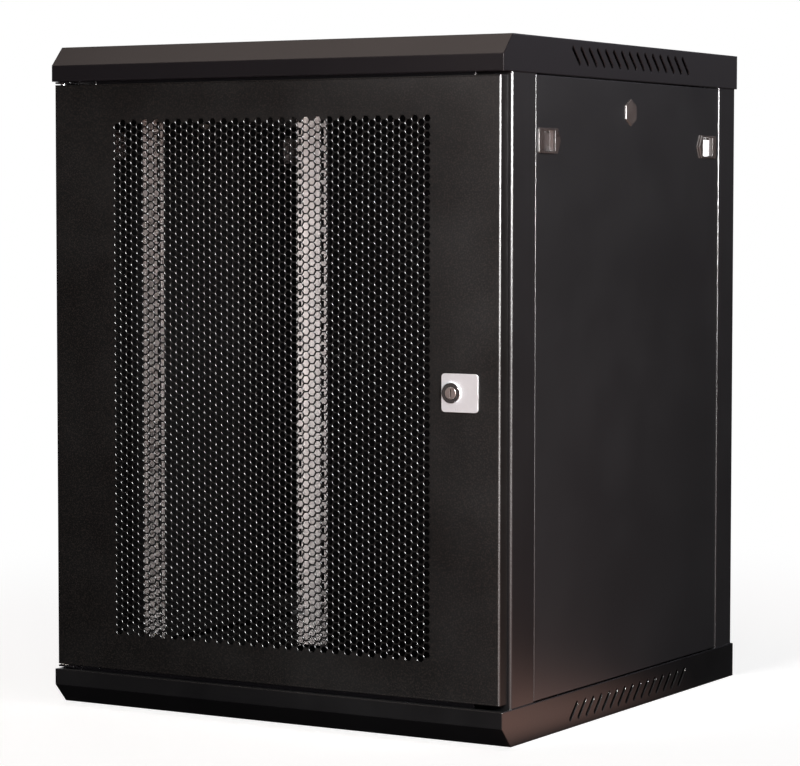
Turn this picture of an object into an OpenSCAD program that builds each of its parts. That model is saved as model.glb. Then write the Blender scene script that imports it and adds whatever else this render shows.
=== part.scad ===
// Wall-mounted network server rack cabinet, 19 inch, with a perforated front door.
// Origin: centre of the underside. +Z up, the front door faces -Y, +X to the right.
// Millimetres.

/* [Cabinet] */
// outside width
body_w = 600; // [560:1:700]
// outside depth
body_d = 600; // [560:1:800]
// outside height
body_h = 770; // [600:1:1100]
// height of the top and bottom covers
cap_h = 40.5; // [36:0.5:60]
// depth of the covers' front bevel
bevel_d = 20; // [10:0.5:22]
// rise of the covers' front bevel
bevel_h = 22; // [10:0.5:26]
// sheet thickness of covers, posts and door
sheet = 1.2; // [0.8:0.1:1.5]

/* [Cover vents] */
// slots in each side of each cover
slot_count = 15; // [1:1:20]
// distance between slots
slot_pitch = 20.2; // [16:0.1:24]
// slot length
slot_l = 27.5; // [12:0.5:30]
// slot width
slot_w = 4.8; // [2:0.1:6]
// slot lean from vertical, degrees
slot_lean = 45; // [0:1:50]

/* [Posts] */
// depth of the side face of a front post
front_post_d = 52; // [40:1:80]
// depth of the side face of a rear post
rear_post_d = 46.5; // [38:1:80]
// width of the front face of a front post
front_post_w = 45.5; // [36:0.5:48]

/* [Door] */
// door thickness
door_t = 18; // [16:0.5:18]
// gap above and below the door, before its 1 mm lift
door_gap = 5; // [4:0.5:8]
// width of the perforated field
perf_w = 421.5; // [200:0.5:440]
// height of the perforated field
perf_h = 597; // [200:0.5:620]
// hinge pin diameter
pin_d = 6; // [4:0.5:8]

/* [Lock] */
// lock position from the cabinet's centre line
lock_x = 235.5; // [230:0.5:238]
// lock position above the base
lock_z = 383.5; // [300:0.5:450]
// cam length from the lock's axis
cam_l = 30; // [22:0.5:32]

/* [Rails] */
// rack units
units = 15; // [4:1:15]
// distance of the front rails behind the cabinet's front
front_rail_in = 98; // [60:1:160]
// distance of the rear rails behind the cabinet's front
rear_rail_in = 485; // [420:1:500]
// rail sheet thickness
rail_t = 1.5; // [1:0.1:2.5]

/* [Wall fixing] */
// hole spacing across
wall_x = 230; // [200:1:460]
// hole spacing up and down
wall_z = 640; // [300:1:640]
// hole radius
wall_r = 4.5; // [3:0.5:8]

/* [Hidden] */
// cabinet
half_w = body_w/2;
half_d = body_d/2;
mid_z = body_h/2;
front_y = -half_d;                      // front lip of the covers
// posts
post_x = half_w - 1.5;                  // outer side
post_y0 = front_y + 23;                 // front face of the front posts
post_y1 = half_d - 2.2;                 // rear face of the rear posts
post_z0 = sheet;
post_z1 = body_h - sheet;
side_y0 = post_y0 + front_post_d;       // side opening between front and rear posts
side_y1 = post_y1 - rear_post_d;
lip_x = post_x - 12;                    // outer side of the lips behind the side panels
// door
door_lift = 1;
door_z0 = cap_h + door_gap + door_lift;
door_z1 = body_h - cap_h - door_gap + door_lift;
door_y0 = front_y + 3;
door_y1 = door_y0 + door_t;
door_half = half_w - 3.3;
door_x = -1.8;                          // off centre, toward the hinges on the left
hinge_x = door_x - door_half + 5.8;
hinge_y = door_y0 + 9;
pin_r = pin_d/2;
pin_hole_r = pin_r + 0.05;
// side panels
panel_t = 1;
panel_x = post_x - 0.5;                 // outer side
panel_y0 = side_y0 + 1.2;
panel_y1 = side_y1 - 1.2;
panel_z0 = cap_h + 1.3;
panel_z1 = body_h - cap_h - 1.3;
latch_z = 657*body_h/770;
// rails
unit_h = 44.45;
unit_holes = [6.35, 22.225, 38.1];      // heights of the holes in one rack unit
rack_z0 = mid_z - units*unit_h/2;       // bottom of the lowest unit
bolt_z = [rack_z0 + unit_holes[0], body_h - rack_z0 - unit_holes[0]];
// screws
screw_r = 2;
tight_r = 2.05;                         // hole in the part that takes the screw
loose_r = 2.2;                          // hole in the part that is screwed on
cover_screw_x = half_w - 25;
cover_screw_y = half_d - 45;
rear_screw_x = post_x - 22;
rear_screw_z = [60, mid_z, body_h - 60];
hinge_screw_x = [hinge_x + 1, hinge_x + 11];
hinge_screw_z = [22, body_h - 22];
bracket_screw_in = 8;                   // into the side opening from the posts' edges
bracket_screw_dz = [-12, 12];           // from the rail bolts

black = [0.07, 0.07, 0.08];
bezel_black = [0.05, 0.05, 0.05];
latch_black = [0.08, 0.08, 0.08];
dark_grey = [0.1, 0.1, 0.1];
zinc = [0.78, 0.79, 0.80];
steel = [0.62, 0.63, 0.65];
silver = [0.85, 0.85, 0.86];
off_white = [0.9, 0.9, 0.86];
yellow_metal = [0.8, 0.68, 0.35];

// ---------- helpers ----------
module box(low, high) { translate(low) cube(high - low); }

// rods along one axis between two stations
module rod_x(y, z, r, x0, x1) {
  translate([x0, y, z]) rotate([0, 90, 0]) cylinder(h = x1 - x0, r = r, $fn = 48);
}
module rod_y(x, z, r, y0, y1) {
  translate([x, y0, z]) rotate([-90, 0, 0]) cylinder(h = y1 - y0, r = r, $fn = 48);
}
module rod_z(x, y, r, z0, z1) {
  translate([x, y, z0]) cylinder(h = z1 - z0, r = r, $fn = 48);
}
module hinge_rod(r, z0, z1) { rod_z(hinge_x, hinge_y, r, z0, z1); }
module lock_rod(r, y0, y1) { rod_y(lock_x, lock_z, r, y0, y1); }

// right-hand parts to the left, bottom parts to the top
module to_left() { mirror([1, 0, 0]) children(); }
module to_top() { translate([0, 0, body_h]) mirror([0, 0, 1]) children(); }

// four points at half spacings i and j, raised by centre in the second coordinate
function corners(i, j, centre = 0) = [for (p = [-i, i], q = [-j, j]) [p, centre + q]];

module rounded_rect(w, h, r) {
  square([w - 2*r, h], center = true);
  square([w, h - 2*r], center = true);
  for (i = [-1, 1], j = [-1, 1])
    translate([i*(w/2 - r), j*(h/2 - r)]) circle(r = r, $fn = 32);
}
module slot_shape(l, w) {
  square([l - w, w], center = true);
  for (i = [-1, 1]) translate([i*(l - w)/2, 0]) circle(r = w/2, $fn = 24);
}
// screw pointing along -Z, cross-slotted head above z = 0
module pan_screw(r, l) {
  difference() {
    union() {
      cylinder(h = r, r = r*1.9, $fn = 32);
      translate([0, 0, -l]) cylinder(h = l, r = r, $fn = 24);
    }
    for (a = [0, 90])
      rotate([0, 0, a]) translate([-r*1.1, -r*0.18, r*0.35]) cube([r*2.2, r*0.36, r]);
  }
}
// screw pointing along +Z, flat head at z = 0
module flat_screw() {
  difference() {
    union() {
      cylinder(h = 1, r1 = 4.55, r2 = 3.04, $fn = 32);
      cylinder(h = 9, r = screw_r, $fn = 24);
    }
    for (a = [0, 90]) rotate([0, 0, a]) translate([-2.2, -0.4, -0.1]) cube([4.4, 0.8, 0.9]);
  }
}

// ---------- covers ----------
entry_y = 180;                          // centre of the cable entries
entry_w = 300;
entry_d = 100;
entry_screws = corners(165, 60, entry_y);
entry_screw_r = 1.8;
entry_hole_r = 1.9;
slot_shift = 9.5;                       // slot rows sit behind the middle
slot_z = cap_h/2 - 2.2;
fan_x = 120;
fan_y = -20;
fan_r = 52;                             // the grille's slots end on this circle
fan_pitch = 11.4;
fan_hole = 52.5;                        // fixing holes from the fan's axis, both ways

// profiles in (y, z)
module cap_outer() {
  polygon([[front_y, cap_h], [front_y, bevel_h], [front_y + bevel_d, 0],
    [half_d, 0], [half_d, cap_h]]);
}
module cap_inner() {
  polygon([[front_y + sheet, cap_h + 1], [front_y + sheet, bevel_h + 0.39*sheet],
    [front_y + bevel_d + 0.44*sheet, sheet], [half_d - sheet, sheet],
    [half_d - sheet, cap_h + 1]]);
}
// runs a (y, z) profile from -half to +half along X
module across(half) {
  translate([-half, 0, 0]) rotate([90, 0, 90]) linear_extrude(2*half) children();
}
module side_vents() {
  for (s = [-1, 1], i = [0:slot_count - 1])
    translate([s*half_w, (i - (slot_count - 1)/2)*slot_pitch + slot_shift, slot_z])
      rotate([-slot_lean, 0, 0]) rotate([0, 90, 0])
        linear_extrude(6, center = true) slot_shape(slot_l, slot_w);
}
module fan_grille() {
  for (i = [-4:4])
    translate([0, i*fan_pitch, 0]) linear_extrude(sheet + 2)
      slot_shape(2*sqrt(fan_r*fan_r - i*i*fan_pitch*fan_pitch), 5);
  for (p = corners(fan_hole, fan_hole))
    translate([p.x, p.y, 0]) cylinder(h = sheet + 2, r = 2.25, $fn = 24);
}
// bottom cover, open upward
module cap(fans = false) {
  difference() {
    across(half_w) cap_outer();
    across(half_w - sheet) cap_inner();
    side_vents();
    box([-entry_w/2, entry_y - entry_d/2, -1], [entry_w/2, entry_y + entry_d/2, sheet + 1]);
    for (p = entry_screws) rod_z(p.x, p.y, entry_hole_r, -1, sheet + 1);
    // countersunk corner holes
    for (p = corners(cover_screw_x, cover_screw_y)) {
      rod_z(p.x, p.y, 2.6, -1, sheet + 1);
      translate([p.x, p.y, -0.01]) cylinder(h = 1.02, r1 = 4.61, r2 = 3.1, $fn = 32);
    }
    if (fans)
      for (x = [-fan_x, fan_x]) translate([x, fan_y, -1]) fan_grille();
  }
  // returned edge of the front lip
  box([-half_w + sheet, front_y + sheet, cap_h - sheet], [half_w - sheet, front_y + 9, cap_h]);
}
module top_cover() color(black) to_top() cap(true);
module bottom_cover() color(black) cap();

module bottom_cover_screws() {
  for (p = corners(cover_screw_x, cover_screw_y)) translate([p.x, p.y, 0.01]) flat_screw();
}
module cover_screws() color(zinc) {
  bottom_cover_screws();
  to_top() bottom_cover_screws();
}

// ---------- posts ----------
post_bend = 3;                          // outside bend radius
post_lip_d = 15;
rear_flange_w = 36;
tab_t = 1.5;                            // end tabs that take the cover screws

// opening for a side latch's tongue
module tongue_slot(y0, y1) {
  box([lip_x + 2, y0, latch_z - 8], [lip_x + 8.6, y1, latch_z + 8]);
}
// plan: face along y = 0, side running back from the outer bend
module post_plan(w, d) {
  difference() {
    union() {
      translate([post_x - post_bend, post_bend]) circle(r = post_bend, $fn = 32);
      translate([post_x - post_bend, post_bend]) square([post_bend, d - post_bend]);
      translate([post_x - w, 0]) square([w - post_bend, post_bend + 0.2]);
    }
    translate([post_x - post_bend, post_bend]) circle(r = post_bend - sheet, $fn = 32);
    translate([post_x - sheet - 5, post_bend]) square([5, d]);
    translate([post_x - w - 1, sheet]) square([w - 2, 3]);
  }
}
// right-hand post, its face at y = 0 and its body toward +Y;
// tab_x is the tabs' inner side, tab_y their extent, screw_y their hole
module post(w, d, tab_x, tab_y, screw_y) {
  tabs_z = [post_z0, post_z1 - tab_t];
  difference() {
    union() {
      translate([0, 0, post_z0]) linear_extrude(post_z1 - post_z0) post_plan(w, d);
      // step inward and lip behind the side panel
      box([lip_x - sheet, d - sheet, post_z0], [post_x, d, post_z1]);
      box([lip_x - sheet, d - sheet, post_z0], [lip_x, d + post_lip_d, post_z1]);
      for (z = tabs_z) box([tab_x, tab_y[0], z], [post_x - 0.5, tab_y[1], z + tab_t]);
    }
    tongue_slot(d - sheet - 1, d + 1);
    for (z = tabs_z) rod_z(cover_screw_x, screw_y, tight_r, z - 1, z + tab_t + 1);
    for (z = bolt_z, dz = bracket_screw_dz)
      rod_x(d + bracket_screw_in, z + dz, tight_r, lip_x - 3, lip_x + 2);
  }
}
module front_post() {
  edge_x = post_x - front_post_w;
  difference() {
    union() {
      translate([0, post_y0, 0])
        post(front_post_w, front_post_d, tab_x = edge_x + 5,
          tab_y = [0.5, front_post_d - 0.5], screw_y = -cover_screw_y - post_y0);
      // return along the inner edge
      box([edge_x, post_y0, post_z0], [edge_x + sheet, post_y0 + 15, post_z1]);
    }
    // strike slot for the lock cam
    box([edge_x - 1, post_y0 + sheet, lock_z - 38],
      [edge_x + sheet + 1, post_y0 + 12, lock_z + 12]);
  }
}
module rear_post() {
  difference() {
    translate([0, post_y1, 0]) mirror([0, 1, 0])
      post(rear_flange_w, rear_post_d, tab_x = post_x - rear_flange_w + 4,
        tab_y = [6, rear_post_d + 14], screw_y = post_y1 - cover_screw_y);
    for (z = rear_screw_z) rod_y(rear_screw_x, z, tight_r, post_y1 - sheet - 1, post_y1 + 1);
  }
}
module front_post_right() color(black) front_post();
module front_post_left() color(black) difference() {
  to_left() front_post();
  for (x = hinge_screw_x, z = hinge_screw_z)
    rod_y(x, z, tight_r, post_y0 - 1, post_y0 + sheet + 1);
}
module rear_post_right() color(black) rear_post();
module rear_post_left() color(black) to_left() rear_post();

// ---------- cross members ----------
// closes the frame behind the door's bottom edge
module header() {
  end_x = post_x - front_post_w - 0.05;
  z0 = cap_h - 6;
  back_y = post_y0 + 16;
  box([-end_x, post_y0, z0], [end_x, post_y0 + sheet, cap_h + 9]);
  box([-end_x, post_y0, z0], [end_x, back_y, z0 + sheet]);
  box([-end_x, back_y - sheet, z0], [end_x, back_y, cap_h + 4]);
}
module front_header_bottom() color(black) header();
module front_header_top() color(black) to_top() header();

// ---------- rear panel ----------
rear_y1 = post_y1 - sheet;              // outside, against the posts' rear flange
rear_y0 = rear_y1 - sheet;
rear_half = post_x - 8;
cup_r = 18;
cup_t = 1.5;
wall_holes = corners(wall_x/2, wall_z/2, mid_z);
rear_entry_z = 160;
rear_entry_w = 220;
rear_entry_h = 60;
rear_entry_screws = corners(120, 38, rear_entry_z);

module rear_panel() color(black) difference() {
  union() {
    box([-rear_half, rear_y0, sheet + 2], [rear_half, rear_y1, body_h - sheet - 2]);
    // round cups that stand out to the wall
    for (p = wall_holes) rod_y(p[0], p[1], cup_r, rear_y0, half_d);
  }
  for (p = wall_holes) {
    rod_y(p[0], p[1], cup_r - cup_t, rear_y0 - 1, half_d - cup_t);
    rod_y(p[0], p[1], wall_r, rear_y1 - 5, half_d + 1);
  }
  box([-rear_entry_w/2, rear_y1 - 5, rear_entry_z - rear_entry_h/2],
    [rear_entry_w/2, rear_y1 + 1, rear_entry_z + rear_entry_h/2]);
  for (p = rear_entry_screws) rod_y(p[0], p[1], entry_hole_r, rear_y1 - 5, rear_y1 + 1);
  for (x = [-rear_screw_x, rear_screw_x], z = rear_screw_z)
    rod_y(x, z, tight_r, rear_y0 - 1, rear_y1 + 1);
}
module rear_panel_screws() color(zinc)
  for (x = [-rear_screw_x, rear_screw_x], z = rear_screw_z)
    translate([x, post_y1, z]) rotate([-90, 0, 0]) pan_screw(screw_r, 8);

// ---------- cable entry covers ----------
entry_cover_t = 1.2;

// lies on the bottom cover's sheet
module entry_cover() {
  translate([0, 0, sheet]) difference() {
    translate([0, entry_y, 0]) linear_extrude(entry_cover_t) rounded_rect(344, 134, 6);
    for (p = entry_screws) rod_z(p.x, p.y, loose_r, -1, 3);
  }
}
module top_cable_cover() color(black) to_top() entry_cover();
module bottom_cable_cover() color(black) entry_cover();
module rear_cable_cover() color(black) difference() {
  translate([0, rear_y0, rear_entry_z]) rotate([90, 0, 0])
    linear_extrude(entry_cover_t) rounded_rect(256, 92, 6);
  for (p = rear_entry_screws) rod_y(p[0], p[1], loose_r, rear_y1 - 5, rear_y1 + 1);
}
module bottom_entry_screws() {
  for (p = entry_screws)
    translate([p.x, p.y, sheet + entry_cover_t]) pan_screw(entry_screw_r, 2.4);
}
module cable_cover_screws() color(zinc) {
  bottom_entry_screws();
  to_top() bottom_entry_screws();
  for (p = rear_entry_screws)
    translate([p[0], rear_y0 - entry_cover_t, p[1]]) rotate([90, 0, 0])
      pan_screw(entry_screw_r, 2.4);
}

// ---------- depth brackets ----------
rail_x = 225;                           // inner face of the rails
strip_w = 25;                           // width of the rails' back strip
bracket_t = 1.5;
bracket_x0 = rail_x + strip_w + 0.15;
bracket_x1 = bracket_x0 + bracket_t;
leg_x1 = lip_x - sheet;                 // legs end against the posts' lips
leg_half = 20;
leg_in = 17;                            // legs' reach into the side opening
bracket_screw_y = [side_y0 + bracket_screw_in, side_y1 - bracket_screw_in];

// right-hand bracket, reaching down and up from the bolt height z_mid
module bracket(z_mid, down, up) {
  leg_z0 = z_mid - leg_half;
  leg_z1 = z_mid + leg_half;
  difference() {
    union() {
      box([bracket_x0, side_y0, z_mid - down], [bracket_x1, side_y1, z_mid + up]);
      for (z = [z_mid - down, z_mid + up - bracket_t])
        box([bracket_x0, side_y0, z], [bracket_x0 + 13, side_y1, z + bracket_t]);
      // legs out to the posts, and their feet on the lips
      for (y = [side_y0 + leg_in - bracket_t, side_y1 - leg_in])
        box([bracket_x0, y, leg_z0], [leg_x1, y + bracket_t, leg_z1]);
      for (y = [side_y0 + 0.5, side_y1 - leg_in])
        box([leg_x1 - bracket_t, y, leg_z0], [leg_x1, y + leg_in - 0.5, leg_z1]);
    }
    // long slot for the rail bolts
    translate([bracket_x0 - 1, (side_y0 + side_y1)/2, z_mid]) rotate([90, 0, 90])
      linear_extrude(4) slot_shape(side_y1 - side_y0 - 44, 6.6);
    for (y = bracket_screw_y, dz = bracket_screw_dz)
      rod_x(y, z_mid + dz, loose_r, lip_x - 6, lip_x);
  }
}
module upper_bracket() { bracket(bolt_z[1], down = 26, up = 44); }
module lower_bracket() { bracket(bolt_z[0], down = 44, up = 26); }
module depth_bracket_upper_right() color(black) upper_bracket();
module depth_bracket_upper_left() color(black) to_left() upper_bracket();
module depth_bracket_lower_right() color(black) lower_bracket();
module depth_bracket_lower_left() color(black) to_left() lower_bracket();
module bracket_screws() color(zinc)
  for (m = [0, 1], y = bracket_screw_y, z = bolt_z, dz = bracket_screw_dz)
    mirror([m, 0, 0]) translate([leg_x1 - bracket_t, y, z + dz]) rotate([0, -90, 0])
      pan_screw(screw_r, 2.7);

// ---------- rails ----------
rail_z0 = 14;                           // rails run nearly the full height
rail_z1 = body_h - 14;
rail_d = 20;
rack_hole_x = 232.55;
hole_half = 4.75;                       // square rack holes
rail_bolt_y = 28;                       // behind the rail's face

// right-hand rail, its face at y = 0 and bent back toward +Y
module rail(open_strip = false) {
  difference() {
    union() {
      box([rail_x, 0, rail_z0], [rail_x + 16, rail_t, rail_z1]);
      box([rail_x, 0, rail_z0], [rail_x + rail_t, rail_d, rail_z1]);
      box([rail_x, rail_d - rail_t, rail_z0], [rail_x + strip_w, rail_d, rail_z1]);
      box([rail_x + strip_w - rail_t, rail_d - rail_t, rail_z0],
        [rail_x + strip_w, 35, rail_z1]);
    }
    for (unit = [0:units - 1], hole = unit_holes) {
      z = rack_z0 + unit*unit_h + hole;
      z0 = z - hole_half;
      z1 = z + hole_half;
      box([rack_hole_x - hole_half, -1, z0], [rack_hole_x + hole_half, rail_t + 1, z1]);
      box([rail_x - 1, 6, z0], [rail_x + rail_t + 1, 15.5, z1]);
      box([rail_x + strip_w - rail_t - 1, rail_bolt_y - 4, z - 4],
        [rail_x + strip_w + 1, rail_bolt_y + 4, z + 4]);
      if (open_strip)
        box([rail_x + rail_t, rail_d - rail_t - 1, z0], [rail_x + 9.5, rail_d + 1, z1]);
    }
  }
}
// head inside the rail, washer and nut on the bracket's outer side
module rail_bolts() {
  head_h = 3.6;
  washer_x1 = bracket_x1 + 1.25;
  for (z = bolt_z) {
    rod_x(rail_bolt_y, z, 2.9, rail_x + strip_w - 4, bracket_x1 + 8);
    translate([rail_x + strip_w - rail_t - head_h, rail_bolt_y, z]) rotate([0, 90, 0])
      cylinder(h = head_h, r = 5.2, $fn = 6);
    rod_x(rail_bolt_y, z, 6.2, bracket_x1 + 0.05, washer_x1);
    translate([washer_x1, rail_bolt_y, z]) rotate([0, 90, 0])
      cylinder(h = 4.6, r = 5.6, $fn = 6);
  }
}
module at_front() { translate([0, front_y + front_rail_in, 0]) children(); }
// faces +Y
module at_rear() { translate([0, front_y + rear_rail_in, 0]) mirror([0, 1, 0]) children(); }

module front_rail_right() color(zinc) at_front() rail(true);
module front_rail_left() color(zinc) to_left() at_front() rail(true);
module rear_rail_right() color(zinc) at_rear() rail();
module rear_rail_left() color(zinc) to_left() at_rear() rail();
module front_rail_right_bolts() color(zinc) at_front() rail_bolts();
module front_rail_left_bolts() color(zinc) to_left() at_front() rail_bolts();
module rear_rail_right_bolts() color(zinc) at_rear() rail_bolts();
module rear_rail_left_bolts() color(zinc) to_left() at_rear() rail_bolts();

// ---------- hinges ----------
hinge_t = 2;
hinge_gap = 1.5;                        // between the door and a bracket's arm

// arm under or over the door, and a leaf against the post
module hinge_bracket(arm_z, leaf_z0, leaf_z1) {
  x0 = hinge_x - 5.2;
  x1 = hinge_x + 16;
  difference() {
    union() {
      box([x0, door_y0 + 1, arm_z], [x1, post_y0, arm_z + hinge_t]);
      box([x0, post_y0 - hinge_t, leaf_z0], [x1, post_y0, leaf_z1]);
    }
    hinge_rod(pin_hole_r, arm_z - 1.5, arm_z + 3.5);
    for (x = hinge_screw_x, z = hinge_screw_z) rod_y(x, z, loose_r, post_y0 - 3, post_y0 + 1);
  }
}
module upper_hinge_bracket() color(black)
  hinge_bracket(door_z1 + hinge_gap, door_z1 + hinge_gap, body_h - 12);
module lower_hinge_bracket() color(black)
  hinge_bracket(door_z0 - hinge_gap - hinge_t, 12, door_z0 - hinge_gap);
module lower_hinge_pin() color(zinc)
  hinge_rod(pin_r, door_z0 - hinge_gap - hinge_t, door_z0 + 8);
module hinge_washer() color(off_white) difference() {
  hinge_rod(6.5, door_z0 - hinge_gap, door_z0);
  hinge_rod(pin_r + 0.08, door_z0 - 2, door_z0 + 1);
}
module hinge_bracket_screws() color(zinc)
  for (x = hinge_screw_x, z = hinge_screw_z)
    translate([x, post_y0 - hinge_t, z]) rotate([90, 0, 0]) pan_screw(screw_r, 6);

// ---------- earth studs ----------
stud_z = 66;

// stud on a round base, with a washer and a nut, along +Z
module stud() {
  rod_z(0, 0, 3, 0, 16);
  rod_z(0, 0, 5, 0, 1);
  difference() {
    rod_z(0, 0, 6.4, 2, 3.4);
    rod_z(0, 0, 2.9, 1, 4);
  }
  translate([0, 0, 3.4]) difference() {
    cylinder(h = 5, r = 5.8, $fn = 6);
    translate([0, 0, -1]) cylinder(h = 8, r = 2.9, $fn = 24);
  }
}
module frame_earth_stud() color(yellow_metal)
  translate([post_x - front_post_w + 22, post_y0 + sheet, stud_z]) rotate([-90, 0, 0]) stud();
module door_earth_stud() color(yellow_metal)
  translate([-233, door_y0 + sheet, stud_z]) rotate([-90, 0, 0]) stud();

// ---------- door ----------
door_bend = 2.5;
perf_x = -2.6;                          // centre of the perforated field
perf_z = mid_z + 0.5;
perf_t = 0.45;                          // thickness left in the field
lock_bore_r = 9.1;

// skin and folded sides in (x, y)
module door_plan() {
  difference() {
    union() {
      for (s = [-1, 1])
        translate([s*(door_half - door_bend), door_y0 + door_bend])
          circle(r = door_bend, $fn = 32);
      translate([-door_half + door_bend, door_y0]) square([2*(door_half - door_bend), 3]);
      translate([-door_half, door_y0 + door_bend]) square([2*door_half, door_t - door_bend]);
    }
    for (s = [-1, 1])
      translate([s*(door_half - door_bend), door_y0 + door_bend])
        circle(r = door_bend - sheet, $fn = 32);
    translate([-door_half + door_bend, door_y0 + sheet])
      square([2*(door_half - door_bend), 3]);
    translate([-door_half + sheet, door_y0 + door_bend])
      square([2*(door_half - sheet), door_t]);
  }
}
module door_panel() color(black) difference() {
  translate([door_x, 0, 0]) union() {
    translate([0, 0, door_z0]) linear_extrude(door_z1 - door_z0) door_plan();
    // folded top and bottom
    for (z = [door_z0, door_z1 - sheet])
      box([-door_half + sheet, door_y0 + sheet, z], [door_half - sheet, door_y1, z + sheet]);
    // returns at the back edge
    for (m = [0, 1]) mirror([m, 0, 0])
      box([door_half - 14, door_y1 - sheet, door_z0], [door_half - sheet, door_y1, door_z1]);
  }
  hinge_rod(pin_hole_r, door_z1 - 3, door_z1 + 1);
  hinge_rod(pin_hole_r, door_z0 - 1, door_z0 + 3);
  lock_rod(lock_bore_r, door_y0 - 1, door_y0 + 3);
  // perforated field: thinned from behind to the weight the holes leave
  box([perf_x - perf_w/2, door_y0 + perf_t, perf_z - perf_h/2],
    [perf_x + perf_w/2, door_y0 + sheet + 0.5, perf_z + perf_h/2]);
}
// channel open toward the skin, with one flange on its outer side
module stiffener() {
  wall = 1;
  x0 = 252;
  x1 = 274;
  y0 = door_y0 + sheet;
  y1 = y0 + 12;
  z0 = door_z0 + 6;
  z1 = door_z1 - 6;
  box([x0, y1 - wall, z0], [x1, y1, z1]);
  for (x = [x0, x1 - wall]) box([x, y0, z0], [x + wall, y1, z1]);
  box([x1 - wall, y0, z0], [x1 + 7, y0 + wall, z1]);
}
module door_stiffener_right() color(black) stiffener();
module door_stiffener_left() color(black) to_left() stiffener();

// bracket that guides the upper hinge pin below the door's top
module door_pin_guide() color(black) difference() {
  union() {
    box([hinge_x - 4.2, door_y0 + 2.6, door_z1 - 34],
      [hinge_x + 8, door_y1 - sheet, door_z1 - 32]);
    box([hinge_x + 6.5, door_y0 + sheet, door_z1 - 46],
      [hinge_x + 8, door_y1 - sheet, door_z1 - sheet]);
  }
  hinge_rod(pin_hole_r, door_z1 - 36, door_z1 - 30);
  // slot for the pin's handle
  box([hinge_x + 5, hinge_y - 2.6, door_z1 - 31], [hinge_x + 9, hinge_y + 2.6, door_z1 - 12]);
}
module upper_hinge_pin() color(zinc) {
  handle_z = door_z1 - 17;
  handle_x1 = hinge_x + 11.5;
  hinge_rod(pin_r, door_z1 - 46, door_z1 + 3.8);
  rod_x(hinge_y, handle_z, 2, hinge_x, handle_x1);
  translate([handle_x1, hinge_y, handle_z]) sphere(r = 2.8, $fn = 24);
}
module door_bumpers() color(dark_grey)
  for (z = [door_z0 + 60, mid_z + 60, door_z1 - 60])
    rod_y(door_x + door_half - 8, z, 4.5, door_y1, post_y0);

// ---------- lock ----------
plate_t = 1.5;
plate_y = door_y0 - plate_t;            // front of the lock plate
body_r = 9;
plug_y1 = door_y0 + 27.2;
cam_y0 = door_y0 + 27.25;
cam_y1 = cam_y0 + 2;
cam_half = 7;
cam_screw_y = door_y0 + 30;

module lock_plate() color(silver) difference() {
  translate([lock_x + 10.3, door_y0, lock_z + 0.2]) rotate([90, 0, 0])
    linear_extrude(plate_t) rounded_rect(45.2, 41.8, 4);
  lock_rod(lock_bore_r, door_y0 - 3, door_y0 + 1);
}
module lock_body() color(steel) difference() {
  union() {
    lock_rod(11.2, plate_y - 1.6, plate_y);
    lock_rod(body_r, plate_y, door_y0 + 26);
  }
  lock_rod(6.55, plate_y - 3, door_y0 + 30);
}
module lock_nut() color(steel) difference() {
  translate([lock_x, door_y0 + sheet, lock_z]) rotate([-90, 0, 0])
    cylinder(h = 4, r = 12.6, $fn = 6);
  lock_rod(body_r + 0.02, door_y0, door_y0 + 8);
}
module lock_plug() color(steel) difference() {
  union() {
    lock_rod(6.5, plate_y - 2.4, plug_y1);
    lock_rod(3, plug_y1 - 0.2, cam_screw_y);
  }
  // key slot
  box([lock_x - 0.9, plate_y - 3, lock_z - 4.4], [lock_x + 0.9, plate_y + 8, lock_z + 4.4]);
  lock_rod(1.6, door_y0 + 24, door_y0 + 31);
}
module lock_cam() color(zinc) difference() {
  union() {
    lock_rod(8, cam_y0, cam_y1);
    box([lock_x - cam_half, cam_y0, lock_z - cam_l + 4], [lock_x + cam_half, cam_y1, lock_z]);
    rod_y(lock_x, lock_z - cam_l + cam_half, cam_half, cam_y0, cam_y1);
  }
  lock_rod(3.05, door_y0 + 25, door_y0 + 32);
}
module lock_cam_screw() color(zinc) difference() {
  union() {
    lock_rod(4.6, cam_screw_y, cam_screw_y + 2.6);
    lock_rod(1.5, door_y0 + 25, door_y0 + 31);
  }
  box([lock_x - 3, cam_screw_y + 1.4, lock_z - 0.5], [lock_x + 3, door_y0 + 34, lock_z + 0.5]);
}

// ---------- side panels ----------
panel_bend = 2;
fold_x = panel_x - 10;                  // inner edge of the folds
bezel_w = 52;
bezel_h = 27.5;
window_w = 27.5;
window_h = 22.5;
window_shift = 2.5;                     // from the bezel's centre toward the panel's edge
// latches are indexed 0 front, 1 rear
bezel_gap = [5.3, 10.3];                // from the panel's edge to the bezel
latch_y = [panel_y0 + bezel_gap[0] + bezel_w/2, panel_y1 - bezel_gap[1] - bezel_w/2];
blank_y = (panel_y0 + panel_y1)/2 - 5.3;
blank_z = 693*body_h/770;

// sets a latch part drawn for the front end, with -Y toward the panel's edge
module at_latch(end) {
  translate([0, latch_y[end], latch_z]) mirror([0, end, 0]) children();
}
// lays a drawing of (y, z) on the panel's outer side
module on_panel(y = 0) { translate([panel_x, y, 0]) rotate([90, 0, 90]) children(); }

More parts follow.
